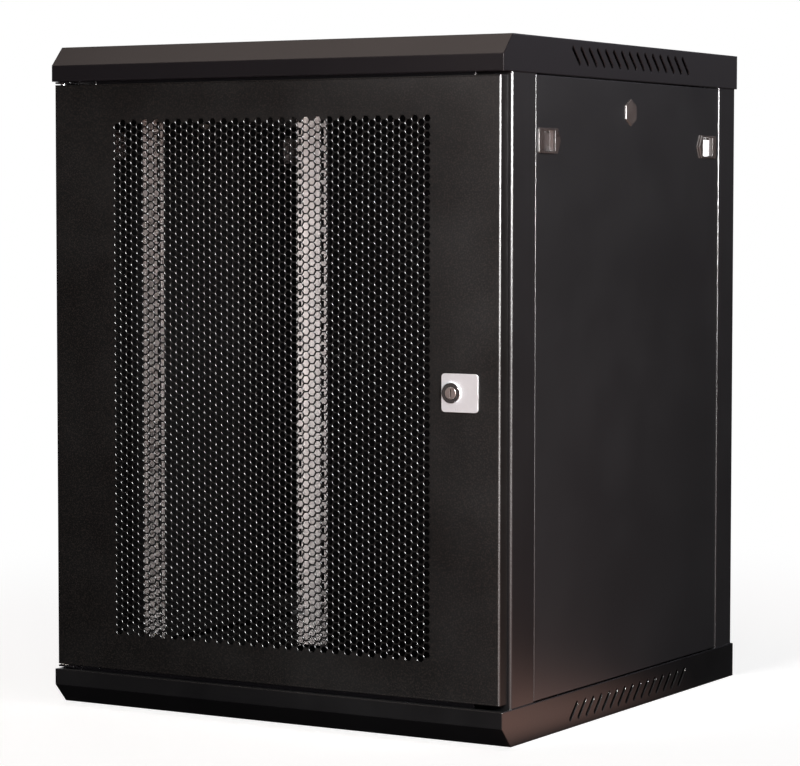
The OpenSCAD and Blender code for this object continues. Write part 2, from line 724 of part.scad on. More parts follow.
// skin and folded front and rear edges in (x, y)
module panel_plan() {
  bend_x = panel_x - panel_bend;
  bends_y = [panel_y0 + panel_bend, panel_y1 - panel_bend];
  difference() {
    union() {
      for (y = bends_y) translate([bend_x, y]) circle(r = panel_bend, $fn = 32);
      translate([bend_x, bends_y[0]]) square([panel_bend, bends_y[1] - bends_y[0]]);
      translate([fold_x, panel_y0]) square([bend_x - fold_x, panel_y1 - panel_y0]);
    }
    for (y = bends_y) translate([bend_x, y]) circle(r = panel_bend - panel_t, $fn = 32);
    translate([panel_x - 2.5, bends_y[0]]) square([2.5 - panel_t, bends_y[1] - bends_y[0]]);
    translate([fold_x - 1, panel_y0 + panel_t]) square([9, panel_y1 - panel_y0 - 2*panel_t]);
  }
}
module side_panel() {
  difference() {
    union() {
      translate([0, 0, panel_z0]) linear_extrude(panel_z1 - panel_z0) panel_plan();
      // folded top and bottom
      for (z = [panel_z0, panel_z1 - panel_t])
        box([fold_x, panel_y0 + panel_t, z],
          [panel_x - panel_t, panel_y1 - panel_t, z + panel_t]);
      // hooks that stand inside the bottom cover
      for (y = [panel_y0 + 70, panel_y1 - 110])
        box([fold_x, y, panel_z0 - 12], [fold_x + 1.5, y + 40, panel_z0 + 1]);
    }
    for (end = [0, 1]) at_latch(end) on_panel(-window_shift)
      linear_extrude(6, center = true) square([window_w + 4, window_h + 4], center = true);
    for (y = [panel_y0, panel_y1 - panel_t]) tongue_slot(y - 1, y + panel_t + 1);
    translate([panel_x - 3, blank_y, blank_z]) rotate([0, 90, 0])
      cylinder(h = 5, r = 13.1, $fn = 6);
  }
}
module side_panel_right() color(black) side_panel();
module side_panel_left() color(black) to_left() side_panel();

// steps of the bezel's frame: from, to, setback of the point
bezel_steps = [[0, 0.8, 0], [0.8, 1.9, 5.5]];

// frame outline, pointed at the end away from the panel's edge
module bezel_outline(setback) {
  x0 = -bezel_w/2;
  x1 = bezel_w/2 - setback;
  y1 = bezel_h/2;
  polygon([[x0, -y1 + 1.5], [x0 + 1.5, -y1], [x1 - 7, -y1], [x1, 0],
    [x1 - 7, y1], [x0 + 1.5, y1], [x0, y1 - 1.5]]);
}
module window() { square([window_w, window_h], center = true); }
module bezel() {
  on_panel() for (k = bezel_steps)
    translate([0, 0, k[0]]) linear_extrude(k[1] - k[0]) difference() {
      bezel_outline(k[2]);
      translate([-window_shift, 0]) window();
    }
  on_panel(-window_shift) {
    // collar through the panel
    translate([0, 0, -panel_t]) linear_extrude(panel_t) difference() {
      square([window_w + 3, window_h + 3], center = true);
      window();
    }
    // guides behind the panel, above and below the latch
    for (s = [-1, 1]) {
      translate([-23, s*14.2 - 2, -panel_t - 8.9]) cube([46, 4, 8.9]);
      translate([-23, s*12.6 - 3.6, -panel_t - 9.3]) cube([46, 7.2, 1.3]);
    }
  }
}
module latch_bezels() { for (end = [0, 1]) at_latch(end) bezel(); }
module latch_bezels_right() color(bezel_black) latch_bezels();
module latch_bezels_left() color(bezel_black) to_left() latch_bezels();

// plug with a chamfered hexagonal head
module blank() {
  translate([panel_x, blank_y, blank_z]) rotate([0, 90, 0]) {
    cylinder(h = 0.9, r = 15.6, $fn = 6);
    translate([0, 0, 0.9]) cylinder(h = 0.7, r1 = 15.6, r2 = 14.8, $fn = 6);
    translate([0, 0, -panel_t - 3]) cylinder(h = panel_t + 3, r = 13, $fn = 6);
  }
}
module lock_blank_right() color(black) blank();
module lock_blank_left() color(black) to_left() blank();

// latch with its tongue drawn back to just inside the panel's edge
module latch(end) {
  back_x = lip_x + 3;
  face_x = panel_x - panel_t - 0.1;     // face behind the window
  tongue_y = -(bezel_gap[end] + bezel_w/2 - 0.8);
  at_latch(end) difference() {
    union() {
      // dished face: a long slope in from the edge side, a short steep one out to the pull
      translate([0, 0, -12]) linear_extrude(24)
        polygon([[back_x, -21.5], [face_x, -21.5], [face_x, -15.5], [face_x - 2.4, 8.2],
          [face_x, 10.28], [face_x, 22], [back_x, 22]]);
      // raised ridge of the pull
      translate([0, 0, -10.8]) linear_extrude(21.6)
        polygon([[face_x - 0.2, 10.1], [face_x, 10.28], [face_x + 0.6, 10.8],
          [face_x - 0.2, 10.8]]);
      box([back_x, tongue_y, -7], [back_x + 4.6, -21, 7]);
    }
    // groove along the top of the face
    box([face_x - 5, -13.5, 8.6], [face_x + 1, 7, 11]);
  }
}
module latch_front_right() color(latch_black) latch(0);
module latch_rear_right() color(latch_black) latch(1);
module latch_front_left() color(latch_black) to_left() latch(0);
module latch_rear_left() color(latch_black) to_left() latch(1);

top_cover();
bottom_cover();
front_post_left();
front_post_right();
rear_post_left();
rear_post_right();
front_header_top();
front_header_bottom();
rear_panel();
top_cable_cover();
bottom_cable_cover();
rear_cable_cover();
cable_cover_screws();
cover_screws();
rear_panel_screws();
depth_bracket_upper_left();
depth_bracket_upper_right();
depth_bracket_lower_left();
depth_bracket_lower_right();
bracket_screws();
upper_hinge_bracket();
lower_hinge_bracket();
lower_hinge_pin();
hinge_washer();
hinge_bracket_screws();
frame_earth_stud();
door_panel();
door_stiffener_left();
door_stiffener_right();
door_pin_guide();
lock_plate();
lock_body();
lock_nut();
door_bumpers();
door_earth_stud();
upper_hinge_pin();
lock_plug();
lock_cam();
lock_cam_screw();
side_panel_left();
latch_bezels_left();
lock_blank_left();
latch_front_left();
latch_rear_left();
side_panel_right();
latch_bezels_right();
lock_blank_right();
latch_front_right();
latch_rear_right();
front_rail_left();
front_rail_left_bolts();
front_rail_right();
front_rail_right_bolts();
rear_rail_left();
rear_rail_left_bolts();
rear_rail_right();
rear_rail_right_bolts();
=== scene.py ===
# A rack cabinet with a perforated front door, standing on a pale studio floor.
# Metres, Z up. The cabinet stands centred on the origin: front toward -Y, right side toward +X.
import math
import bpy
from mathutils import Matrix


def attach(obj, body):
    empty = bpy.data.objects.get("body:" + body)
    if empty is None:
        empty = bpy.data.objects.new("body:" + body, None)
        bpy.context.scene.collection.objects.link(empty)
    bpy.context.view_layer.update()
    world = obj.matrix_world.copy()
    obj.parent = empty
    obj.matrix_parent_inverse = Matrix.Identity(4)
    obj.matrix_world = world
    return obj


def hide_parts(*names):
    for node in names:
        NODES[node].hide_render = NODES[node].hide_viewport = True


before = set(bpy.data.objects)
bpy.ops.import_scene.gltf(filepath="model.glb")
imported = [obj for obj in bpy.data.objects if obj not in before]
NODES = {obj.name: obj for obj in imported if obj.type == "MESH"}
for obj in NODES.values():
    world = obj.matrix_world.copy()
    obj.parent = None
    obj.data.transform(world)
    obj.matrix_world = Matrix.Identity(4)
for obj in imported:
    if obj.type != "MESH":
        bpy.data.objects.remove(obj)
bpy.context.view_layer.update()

from fnmatch import fnmatchcase

import bpy
from mathutils import Matrix, Vector
from mathutils.geometry import tessellate_polygon

MM = 0.001
WHITE = (1.0, 1.0, 1.0)


# ------------------------------------------------------------------ node helpers
NOISE_BAND = (0.3, 0.7)                    # where most noise values lie


class Graph:
    """An emptied node tree, with short calls for the nodes used here."""

    def __init__(self, owner, output_kind):
        owner.use_nodes = True
        self.tree = owner.node_tree
        self.tree.nodes.clear()
        self.output = self.node(output_kind).inputs[0]

    def feed(self, socket, value):
        """Links an output socket, or sets a plain value; colours are given as RGB."""
        if hasattr(value, "is_linked"):
            self.tree.links.new(value, socket)
        elif socket.type == "RGBA":
            socket.default_value = (*value, 1.0)
        else:
            socket.default_value = value

    def node(self, kind, inputs=None, **props):
        made = self.tree.nodes.new("ShaderNode" + kind)
        for key, value in props.items():
            setattr(made, key, value)
        for key, value in (inputs or {}).items():
            self.feed(made.inputs[key], value)
        return made

    def remap(self, value, band=NOISE_BAND, to=(0.0, 1.0), **props):
        """Maps the band of input values onto the range `to`."""
        return self.node("MapRange", {
            "Value": value, "From Min": band[0], "From Max": band[1],
            "To Min": to[0], "To Max": to[1]}, **props).outputs[0]

    def math(self, operation, first, second):
        return self.node("Math", {0: first, 1: second}, operation=operation).outputs[0]

    def mix(self, share, first, second):
        colors = {0: share, 6: first, 7: second}
        return self.node("Mix", colors, data_type="RGBA").outputs[2]

    def emission(self, color, strength=1.0):
        return self.node("Emission", {0: color, 1: strength}).outputs[0]

    def mix_shader(self, share, first, second):
        return self.node("MixShader", {0: share, 1: first, 2: second}).outputs[0]

    def camera_ray(self):
        return self.node("LightPath").outputs["Is Camera Ray"]


class Surface(Graph):
    """One Principled material, textured in object coordinates."""

    def __init__(self, name):
        self.material = bpy.data.materials.new(name)
        super().__init__(self.material, "OutputMaterial")
        self.bsdf = self.node("BsdfPrincipled")
        self.feed(self.output, self.bsdf.outputs[0])
        self.place = self.node("TexCoord").outputs["Object"]

    def stretched(self, z_scale):
        """Coordinates that draw a texture out along Z."""
        return self.node("Mapping", {"Vector": self.place, "Scale": (1, 1, z_scale)}).outputs[0]

    def noise(self, scale, detail=3.0, rough=0.55, vector=None):
        return self.node("TexNoise", {
            "Scale": scale, "Detail": detail, "Roughness": rough,
            "Vector": vector or self.place}).outputs["Fac"]

    def bump(self, height, strength, distance, normal=None):
        inputs = {"Strength": strength, "Distance": distance, "Height": height}
        if normal is not None:
            inputs["Normal"] = normal
        return self.node("Bump", inputs).outputs[0]

    def edges(self, radius):
        """Rounded normal, and how close the point is to a sharp edge."""
        rounded = self.node("Bevel", {"Radius": radius}, samples=4).outputs[0]
        true_normal = self.node("NewGeometry").outputs["Normal"]
        cosine = self.node("VectorMath", {0: rounded, 1: true_normal}, operation="DOT_PRODUCT")
        return rounded, self.remap(cosine.outputs["Value"], band=(0.995, 0.90))

    def finish(self, **inputs):
        """Feeds the Principled inputs; underscores in a keyword stand for spaces."""
        for key, value in inputs.items():
            self.feed(self.bsdf.inputs[key.replace("_", " ")], value)
        return self.material


def brighter(color, gain):
    return tuple(min(1, gain * c) for c in color)


# ------------------------------------------------------------------ materials
# Coat specks: noise scale, the noise band they show in, their strength, their brightness
FINE_SPECKS = dict(scale=1500.0, band=(0.60, 0.80), share=0.35, gain=3.2)
DOOR_SPECKS = dict(scale=600.0, band=(0.47, 0.68), share=1.0, gain=7.0)

# The space inside the cabinet's sheets, where the coat gets painted shade: |x| limit, then (axis,
# test, limit)
INSIDE_X = 0.2974
INSIDE_LIMITS = ((1, "GREATER_THAN", -0.2755), (1, "LESS_THAN", 0.2962),
                 (2, "GREATER_THAN", 0.0011), (2, "LESS_THAN", 0.7689))
INSIDE_SPECULAR = 0.12
INSIDE_ROUGHER = 0.2


def painted_shade_mask(m):
    """1 within the cabinet's sheets, where the shade is painted, 0 outside."""
    axes = m.node("SeparateXYZ", {0: m.place}).outputs
    mask = m.math("LESS_THAN", m.math("ABSOLUTE", axes[0], 0.0), INSIDE_X)
    for axis, test, limit in INSIDE_LIMITS:
        mask = m.math("MULTIPLY", mask, m.math(test, axes[axis], limit))
    return mask


def powder(name, dark, light, rough, bump=0.22, wear_and_highlight_radius=None, inner=None,
           specks=FINE_SPECKS, grain=720.0, specular=0.5):
    """Powder coat: cloudy colour, specks, orange-peel grain.

    The edge radius gives smoother edges, painted paler as part rubbed wear, part painted
    highlight, and inner the brightness of the painted shade, with less shine, on faces inside the
    cabinet; None leaves either out."""
    m = Surface(name)
    cloud = m.noise(scale=3.1, detail=4.0)
    dots = m.noise(scale=specks["scale"], detail=1.0, rough=0.5)
    peel = m.noise(scale=grain, detail=2.0, rough=0.6)
    color = m.mix(m.remap(cloud), dark, light)
    color = m.mix(m.remap(dots, specks["band"], to=(0.0, specks["share"])),
                  color, brighter(light, specks["gain"]))
    roughness = m.remap(m.noise(scale=9.0), to=rough)
    normal = None
    if wear_and_highlight_radius is not None:
        normal, edge = m.edges(wear_and_highlight_radius)
        # edges painted paler and smoother: partly rubbed wear, partly painted highlight along the
        # bends
        wear_and_sheen = m.remap(m.noise(scale=60.0, detail=4.0), band=(0.45, 0.7), to=(0.05, 0.5))
        color = m.mix(m.math("MULTIPLY", edge, wear_and_sheen), color, brighter(light, gain=4.0))
        roughness = m.math("SUBTRACT", roughness, m.math("MULTIPLY", edge, 0.10))
    if inner is not None:
        # painted shade: faces inside the cabinet are painted darker and given less shine and more
        # roughness
        mask = painted_shade_mask(m)
        color = m.mix(mask, color, brighter(dark, inner))
        specular = m.remap(mask, band=(0.0, 1.0), to=(specular, INSIDE_SPECULAR))
        roughness = m.math("ADD", roughness, m.math("MULTIPLY", mask, INSIDE_ROUGHER))
    return m.finish(Base_Color=color, Roughness=roughness, Specular_IOR_Level=specular,
                    Normal=m.bump(peel, strength=bump, distance=0.12 * MM, normal=normal))


def zinc(name, dull, bright, metallic):
    """Zinc-coated sheet: spangle, faint roll lines, dull patches, painted highlight on the edges.
    """
    m = Surface(name)
    cells = m.node("TexVoronoi", {"Scale": 90.0, "Vector": m.place})
    spangle = m.node("SeparateColor", {0: cells.outputs["Color"]}).outputs
    patch = m.remap(m.noise(scale=14.0, detail=5.0), to=(0.2, 1.0))
    color = m.mix(m.math("MULTIPLY", patch, spangle[0]), dull, bright)
    lines = m.noise(scale=240.0, detail=2.0, rough=0.5, vector=m.stretched(0.04))
    # edge: where the painted highlight is laid along the edges
    normal, edge = m.edges(0.5 * MM)
    return m.finish(
        Base_Color=m.mix(m.math("MULTIPLY", edge, 0.5), color, brighter(bright, gain=1.12)),
        Metallic=metallic,
        Roughness=m.remap(m.math("ADD", lines, spangle[1]), band=(0.3, 1.4), to=(0.32, 0.5)),
        Normal=m.bump(lines, strength=0.12, distance=0.05 * MM, normal=normal))


def plated(name, clean, tarnished, rough, metallic=0.9, scratch=900.0):
    """Plated hardware: fine scratches, slight tarnish, painted highlight on the edges."""
    m = Surface(name)
    fine = m.noise(scale=scratch, detail=2.0, rough=0.6, vector=m.stretched(0.06))
    patch = m.noise(scale=70.0, detail=4.0)
    # edge: where the painted highlight is laid along the edges
    normal, edge = m.edges(0.35 * MM)
    color = m.mix(m.remap(patch, band=(0.35, 0.7)), clean, tarnished)
    return m.finish(
        Base_Color=m.mix(m.math("MULTIPLY", edge, 0.6), color, brighter(clean, gain=1.2)),
        Metallic=metallic,
        Roughness=m.remap(m.math("ADD", fine, patch), band=(0.6, 1.5), to=rough),
        Normal=m.bump(fine, strength=0.06, distance=0.05 * MM, normal=normal))


def plastic(name, base, mottle, rough, grain=1400.0, bump=0.1, edge_radius=0.5 * MM):
    """Moulded plastic or rubber: fine grain, faint mottling, painted highlight on the edges."""
    m = Surface(name)
    fine = m.noise(scale=grain, detail=2.0)
    patch = m.noise(scale=45.0, detail=4.0)
    # edge: where the painted highlight is laid along the edges
    normal, edge = m.edges(edge_radius)
    color = m.mix(m.remap(patch), base, mottle)
    return m.finish(
        Base_Color=m.mix(m.math("MULTIPLY", edge, 0.35), color, brighter(mottle, gain=1.8)),
        Roughness=m.remap(patch, to=rough),
        Specular_IOR_Level=0.5,
        Normal=m.bump(fine, strength=bump, distance=0.06 * MM, normal=normal))


# The two colours of each call are the ones its main noise blends.
# inner paints the faces inside the cabinet darker, as painted shade
CASE = powder("powder_case", (0.0084, 0.0079, 0.0098), (0.0108, 0.0101, 0.0124),
              rough=(0.31, 0.34), bump=0.12, wear_and_highlight_radius=1.9 * MM, inner=0.22)
# painted shade: the bottom cover gets a darker copy of the case coat, so its downward-facing edge
# stays near black
BASE = powder("powder_base_shaded", (0.0040, 0.0037, 0.0044), (0.0058, 0.0054, 0.0062),
              rough=(0.28, 0.35), bump=0.10, wear_and_highlight_radius=1.9 * MM, inner=0.9)
# painted shade: the door, its side flange, hole field and hole edges are darker copies of the
# case coat, so the front stays dark under the strong front light
DOOR = powder("powder_door", (0.0016, 0.0012, 0.0011), (0.0024, 0.0019, 0.0017),
              rough=(0.30, 0.37), bump=0.42, wear_and_highlight_radius=1.2 * MM, specks=DOOR_SPECKS, grain=600.0)
FLANGE = powder("powder_door_side", (0.0040, 0.0029, 0.0024), (0.0055, 0.0040, 0.0034),
                rough=(0.40, 0.46), bump=0.12, wear_and_highlight_radius=1.2 * MM, specular=0.14)
MESH = powder("powder_mesh", (0.0026, 0.0021, 0.0020), (0.0038, 0.0031, 0.0029),
              rough=(0.30, 0.37), bump=0.08, specular=0.40)
RIM = powder("powder_hole_edge", (0.0026, 0.0021, 0.0020), (0.0038, 0.0031, 0.0029),
             rough=(0.29, 0.35), bump=0.06, specular=0.30)
INSIDE = powder("powder_inside", (0.003, 0.0027, 0.0027), (0.0045, 0.004, 0.004),
                rough=(0.45, 0.6), wear_and_highlight_radius=1.4 * MM)
RAIL = zinc("rail_zinc", (0.49, 0.465, 0.46), (0.67, 0.64, 0.63), metallic=0.10)
# painted light: the rear rails get a lighter copy of the rail zinc, as they catch more light than
# the front ones
REAR_RAIL_LIT_COPY = zinc("rail_zinc_rear_lit", (0.72, 0.69, 0.68), (0.90, 0.865, 0.855), metallic=0.05)
# painted shade: the depth brackets inside get a darker copy of the coat, so they stay dark in the
# cabinet
BRACKET = powder("powder_bracket", (0.0022, 0.0021, 0.0022), (0.0032, 0.0031, 0.0032),
                 rough=(0.5, 0.6), specular=0.12)
SCREW = plated("zinc_screws", (0.62, 0.62, 0.64), (0.50, 0.50, 0.50), rough=(0.25, 0.42))
PLATE = plated("escutcheon", (0.84, 0.90, 0.95), (0.78, 0.835, 0.885), rough=(0.26, 0.40),
               metallic=0.25, scratch=1500.0)
LOCK = plated("lock_nickel", (0.52, 0.49, 0.49), (0.38, 0.36, 0.36), rough=(0.14, 0.26),
              metallic=0.92)
PLUG = plated("plug_nickel", (0.36, 0.32, 0.31), (0.24, 0.21, 0.20), rough=(0.2, 0.36),
              metallic=0.35)
BRASS = plated("stud_brass", (0.78, 0.60, 0.28), (0.60, 0.44, 0.20), rough=(0.22, 0.4),
               metallic=1.0)
LATCH = plastic("latch_black", (0.060, 0.054, 0.052), (0.080, 0.073, 0.070),
                rough=(0.26, 0.36), edge_radius=0.8 * MM)
SLIDER = plastic("slider_grey", (0.085, 0.076, 0.076), (0.125, 0.113, 0.112),
                 rough=(0.22, 0.30))
BLANK = plastic("blank_black", (0.050, 0.040, 0.035), (0.072, 0.059, 0.052),
                rough=(0.36, 0.46), edge_radius=0.3 * MM)
NYLON = plastic("nylon", (0.78, 0.78, 0.72), (0.66, 0.66, 0.60), rough=(0.4, 0.55))
RUBBER = plastic("rubber", (0.020, 0.020, 0.020), (0.032, 0.031, 0.030), rough=(0.6, 0.8),
                 grain=700.0, bump=0.2)

# Piece name pattern and its material; the first match wins.
PIECE_MATERIALS = (
    ("lock_plate", PLATE), ("bottom_cover", BASE), ("lock_body", LOCK), ("lock_nut", LOCK),
    ("lock_plug", PLUG), ("*earth*", BRASS), ("hinge_washer", NYLON), ("door_bumpers", RUBBER),
    ("latch_bezels*", LATCH), ("latch_*", SLIDER), ("lock_blank*", BLANK),
    ("*_screws", SCREW), ("*_bolts", SCREW), ("*_pin", SCREW),
    ("lock_cam", SCREW), ("lock_cam_screw", SCREW),
    ("rear*_rail_*", REAR_RAIL_LIT_COPY), ("*_rail_*", RAIL), ("depth_bracket*", BRACKET),
    ("door_*", INSIDE), ("*", CASE))

SMOOTH_ANGLE = math.radians(28)


def dress(name, piece):
    """Gives a CAD piece its material and smooth shading between its creases."""
    mesh = piece.data
    mesh.materials.clear()
    mesh.materials.append(next(m for pattern, m in PIECE_MATERIALS if fnmatchcase(name, pattern)))
    mesh.polygons.foreach_set("material_index", [0] * len(mesh.polygons))
    mesh.polygons.foreach_set("use_smooth", [True] * len(mesh.polygons))
    weld = piece.modifiers.new("weld", "WELD")
    weld.merge_threshold = 2e-6
    split = piece.modifiers.new("split", "EDGE_SPLIT")
    split.split_angle = SMOOTH_ANGLE
    split.use_edge_sharp = False


for node_name, node in NODES.items():
    dress(node_name, node)


# ------------------------------------------------------------------ perforated door panel
DOOR_HALF = 0.2967
DOOR_X = -0.0018                           # door centre, a little left of the cabinet's
DOOR_FRONT, DOOR_BACK = -0.297, -0.279
DOOR_BOTTOM, DOOR_TOP = 0.0465, 0.7255
SHEET = 0.0012
FRONT_BEND, BACK_BEND = 0.0025, 0.0018     # outer radii of the side folds
LIP = 0.014                                # reach of the side flange's return, from the outside
FLAT_HALF = DOOR_HALF - FRONT_BEND
SHEET_BACK = DOOR_FRONT + SHEET
END_SETBACK = 0.05 * MM                    # top and bottom folds start just behind the front

PITCH = 9.0 * MM                           # hole to hole down a column
COLUMN_STEP = PITCH * math.sqrt(3) / 2
COLUMNS, ROWS = 54, 66
FIRST_X = -209.2 * MM                      # leftmost column
TOP_Z = 675.8 * MM                         # its top hole; odd columns sit half a pitch higher
ACROSS_FLATS = 7.3 * MM
HOLE_RADIUS = ACROSS_FLATS / math.sqrt(3)  # to the corners
CELL_RADIUS = PITCH / math.sqrt(3)
ROUNDING = 0.34 * MM                       # eased front edge of each hole
HEXAGON = [(math.cos(math.radians(60 * k)), math.sin(math.radians(60 * k))) for k in range(6)]

LOCK_X, LOCK_Z = 0.2355, 0.3835
LOCK_HOLE_RADIUS = 0.0091
LOCK_HOLE_SIDES = 32

SLOTS = (DOOR, MESH, FLANGE, RIM)
DOOR_SLOT, MESH_SLOT, FLANGE_SLOT, RIM_SLOT = range(4)


class Shell:
    """Vertices shared by place, and faces with their material slots."""

    def __init__(self):
        self.verts, self.faces, self.slots = [], [], []
        self.known = {}

    def point(self, x, y, z):
        place = (round(x * 1e7), round(y * 1e7), round(z * 1e7))
        if place not in self.known:
            self.known[place] = len(self.verts)
            self.verts.append((x, y, z))
        return self.known[place]

    def face(self, slot, *points):
        self.faces.append(points)
        self.slots.append(slot)


def punch_field(shell):
    """Builds the hexagonal cells, each with its hole, and counts the uses of each cell edge."""
    uses = {}
    for column in range(COLUMNS):
        for row in range(ROWS):
            x = FIRST_X + column * COLUMN_STEP
            z = TOP_Z - row * PITCH + (PITCH / 2 if column % 2 else 0.0)

            def ring(radius, y):
                return [shell.point(x + radius * dx, y, z + radius * dz) for dx, dz in HEXAGON]

            cell_front = ring(CELL_RADIUS, DOOR_FRONT)
            cell_back = ring(CELL_RADIUS, SHEET_BACK)
            mouth = ring(HOLE_RADIUS + ROUNDING, DOOR_FRONT)
            wall = ring(HOLE_RADIUS, DOOR_FRONT + ROUNDING)
            wall_back = ring(HOLE_RADIUS, SHEET_BACK)
            bands = ((MESH_SLOT, cell_front, mouth), (RIM_SLOT, mouth, wall),
                     (RIM_SLOT, wall, wall_back))
            for k in range(6):
                q = (k + 1) % 6
                for slot, outer, inner in bands:
                    shell.face(slot, outer[k], outer[q], inner[q], inner[k])
                shell.face(MESH_SLOT, cell_back[q], cell_back[k], wall_back[k], wall_back[q])
                edge = tuple(sorted((cell_front[k], cell_front[q])))
                uses[edge] = uses.get(edge, 0) + 1
    return uses


def field_outline(shell, uses):
    """The (x, z) loop round the field, along the edges that belong to one cell only."""
    neighbours = {}
    for (a, b), count in uses.items():
        if count == 1:
            neighbours.setdefault(a, []).append(b)
            neighbours.setdefault(b, []).append(a)
    start = next(iter(neighbours))
    loop, previous, current = [start], None, start
    while True:
        onward = [n for n in neighbours[current] if n != previous]
        previous, current = current, onward[0]
        if current == start:
            break
        loop.append(current)
    return [(shell.verts[k][0], shell.verts[k][2]) for k in loop]


def fill_border(shell, field):
    """The plain sheet from the punched field out to the folds, with the round lock hole."""
    left, right = DOOR_X - FLAT_HALF, DOOR_X + FLAT_HALF
    border = [(left, DOOR_BOTTOM), (right, DOOR_BOTTOM), (right, DOOR_TOP), (left, DOOR_TOP)]
    angles = [math.tau * k / LOCK_HOLE_SIDES for k in range(LOCK_HOLE_SIDES)]
    hole = [(LOCK_X + LOCK_HOLE_RADIUS * math.cos(a), LOCK_Z + LOCK_HOLE_RADIUS * math.sin(a))
            for a in angles]
    corners = border + field + hole

    def front(x, z):
        return shell.point(x, DOOR_FRONT, z)

    def back(x, z):
        return shell.point(x, SHEET_BACK, z)

    for triangle in tessellate_polygon(
            [[Vector((x, z, 0)) for x, z in loop] for loop in (border, field, hole)]):
        a, b, c = [corners[k] for k in triangle]
        if (b[0] - a[0]) * (c[1] - a[1]) - (b[1] - a[1]) * (c[0] - a[0]) < 0:
            b, c = c, b
        shell.face(DOOR_SLOT, front(*a), front(*b), front(*c))
        shell.face(DOOR_SLOT, back(*c), back(*b), back(*a))
    for a, b in zip(hole, hole[1:] + hole[:1]):
        shell.face(DOOR_SLOT, front(*a), front(*b), back(*b), back(*a))


def bend(x, y, radius, degrees):
    """Arc of (x, y) points round a centre."""
    return [(x + radius * math.cos(math.radians(d)), y + radius * math.sin(math.radians(d)))
            for d in degrees]


def fold_sides(shell):
    """Runs the folded side profile up the door, right then left."""
    bend_y = DOOR_FRONT + FRONT_BEND
    inner_corner = BACK_BEND - SHEET       # small cut across the inside of the back fold
    profile = bend(FLAT_HALF, bend_y, FRONT_BEND, [-90 + 15 * k for k in range(7)])
    profile += bend(DOOR_HALF - BACK_BEND, DOOR_BACK - BACK_BEND, BACK_BEND,
                    [22.5 * k for k in range(5)])
    profile += [(DOOR_HALF - LIP, DOOR_BACK), (DOOR_HALF - LIP, DOOR_BACK - SHEET),
                (DOOR_HALF - SHEET - inner_corner, DOOR_BACK - SHEET),
                (DOOR_HALF - SHEET, DOOR_BACK - SHEET - inner_corner)]
    profile += bend(FLAT_HALF, bend_y, FRONT_BEND - SHEET, [-15 * k for k in range(7)])
    for side in (1, -1):                   # a step of -1 reverses the mirrored faces
        low = [shell.point(DOOR_X + side * x, y, DOOR_BOTTOM) for x, y in profile]
        high = [shell.point(DOOR_X + side * x, y, DOOR_TOP) for x, y in profile]
        for k in range(len(profile) - 1):
            quad = (low[k], low[k + 1], high[k + 1], high[k])
            shell.face(DOOR_SLOT if k < 6 else FLANGE_SLOT, *quad[::side])
        shell.face(DOOR_SLOT, *low[::-side])
        shell.face(DOOR_SLOT, *high[::side])


def fold_ends(shell):
    """Flat strips behind the top and bottom edges, open at their ends."""
    x0, x1 = DOOR_X - DOOR_HALF + SHEET, DOOR_X + DOOR_HALF - SHEET
    y0, y1 = DOOR_FRONT + END_SETBACK, DOOR_BACK - SHEET
    for levels in ((DOOR_TOP - SHEET, DOOR_TOP), (DOOR_BOTTOM, DOOR_BOTTOM + SHEET)):
        box = [shell.point(x, y, z) for z in levels
               for x, y in ((x0, y0), (x1, y0), (x1, y1), (x0, y1))]
        for quad in ((0, 3, 2, 1), (4, 5, 6, 7), (0, 1, 5, 4), (2, 3, 7, 6)):
            shell.face(DOOR_SLOT, *(box[k] for k in quad))


def door_skin():
    shell = Shell()
    uses = punch_field(shell)
    fill_border(shell, field_outline(shell, uses))
    fold_sides(shell)
    fold_ends(shell)
    mesh = bpy.data.meshes.new("door_skin")
    mesh.from_pydata(shell.verts, [], shell.faces)
    for material in SLOTS:
        mesh.materials.append(material)
    mesh.polygons.foreach_set("material_index", shell.slots)
    mesh.polygons.foreach_set("use_smooth", [True] * len(mesh.polygons))
    mesh.validate()
    mesh.update()
    mesh.set_sharp_from_angle(angle=math.radians(50))
    for polygon in mesh.polygons:          # the sheet between the holes stays flat
        if polygon.material_index == MESH_SLOT:
            polygon.use_smooth = False
    made = bpy.data.objects.new("door_skin", mesh)
    bpy.context.collection.objects.link(made)
    return made


skin = door_skin()
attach(skin, "door")
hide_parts("door_panel")


# ------------------------------------------------------------------ lights
def area(name, place, aim, width, height, watts, color, spread=180):
    data = bpy.data.lights.new(name, "AREA")
    data.shape = "RECTANGLE"
    data.size, data.size_y = width, height
    data.energy, data.color, data.spread = watts, color, math.radians(spread)
    light = bpy.data.objects.new(name, data)
    bpy.context.collection.objects.link(light)
    light.location = place
    light.rotation_mode = "QUATERNION"
    light.rotation_quaternion = (Vector(aim) - Vector(place)).to_track_quat("-Z", "Y")
    light.visible_camera = False
    return light


def strip(name, angle, distance, bottom, top, width, radiance, color):
    """Upright softbox, angle degrees round from the front toward the right; no diffuse light."""
    turn = math.radians(angle)
    x, y, z = distance * math.sin(turn), -distance * math.cos(turn), (bottom + top) / 2
    watts = radiance * math.pi * width * (top - bottom)
    light = area(name, (x, y, z), (0, 0, z), width, top - bottom, watts, color)
    light.visible_diffuse = False
    return light


def floor_sheet(name, left, right, front, back):
    """Glowing sheet just above the floor, facing up."""
    x, y = (left + right) / 2, (front + back) / 2
    width, depth = right - left, back - front
    radiance = 0.55
    return area(name, (x, y, 0.004), (x, y, 1.0), width, depth,
                radiance * math.pi * width * depth, (0.97, 0.98, 1.0))


def only(light, *pieces):
    """Lets a light fall on these pieces alone."""
    receivers = bpy.data.collections.new(light.name + "_only")
    for piece in pieces:
        receivers.objects.link(piece)
    light.light_linking.receiver_collection = receivers


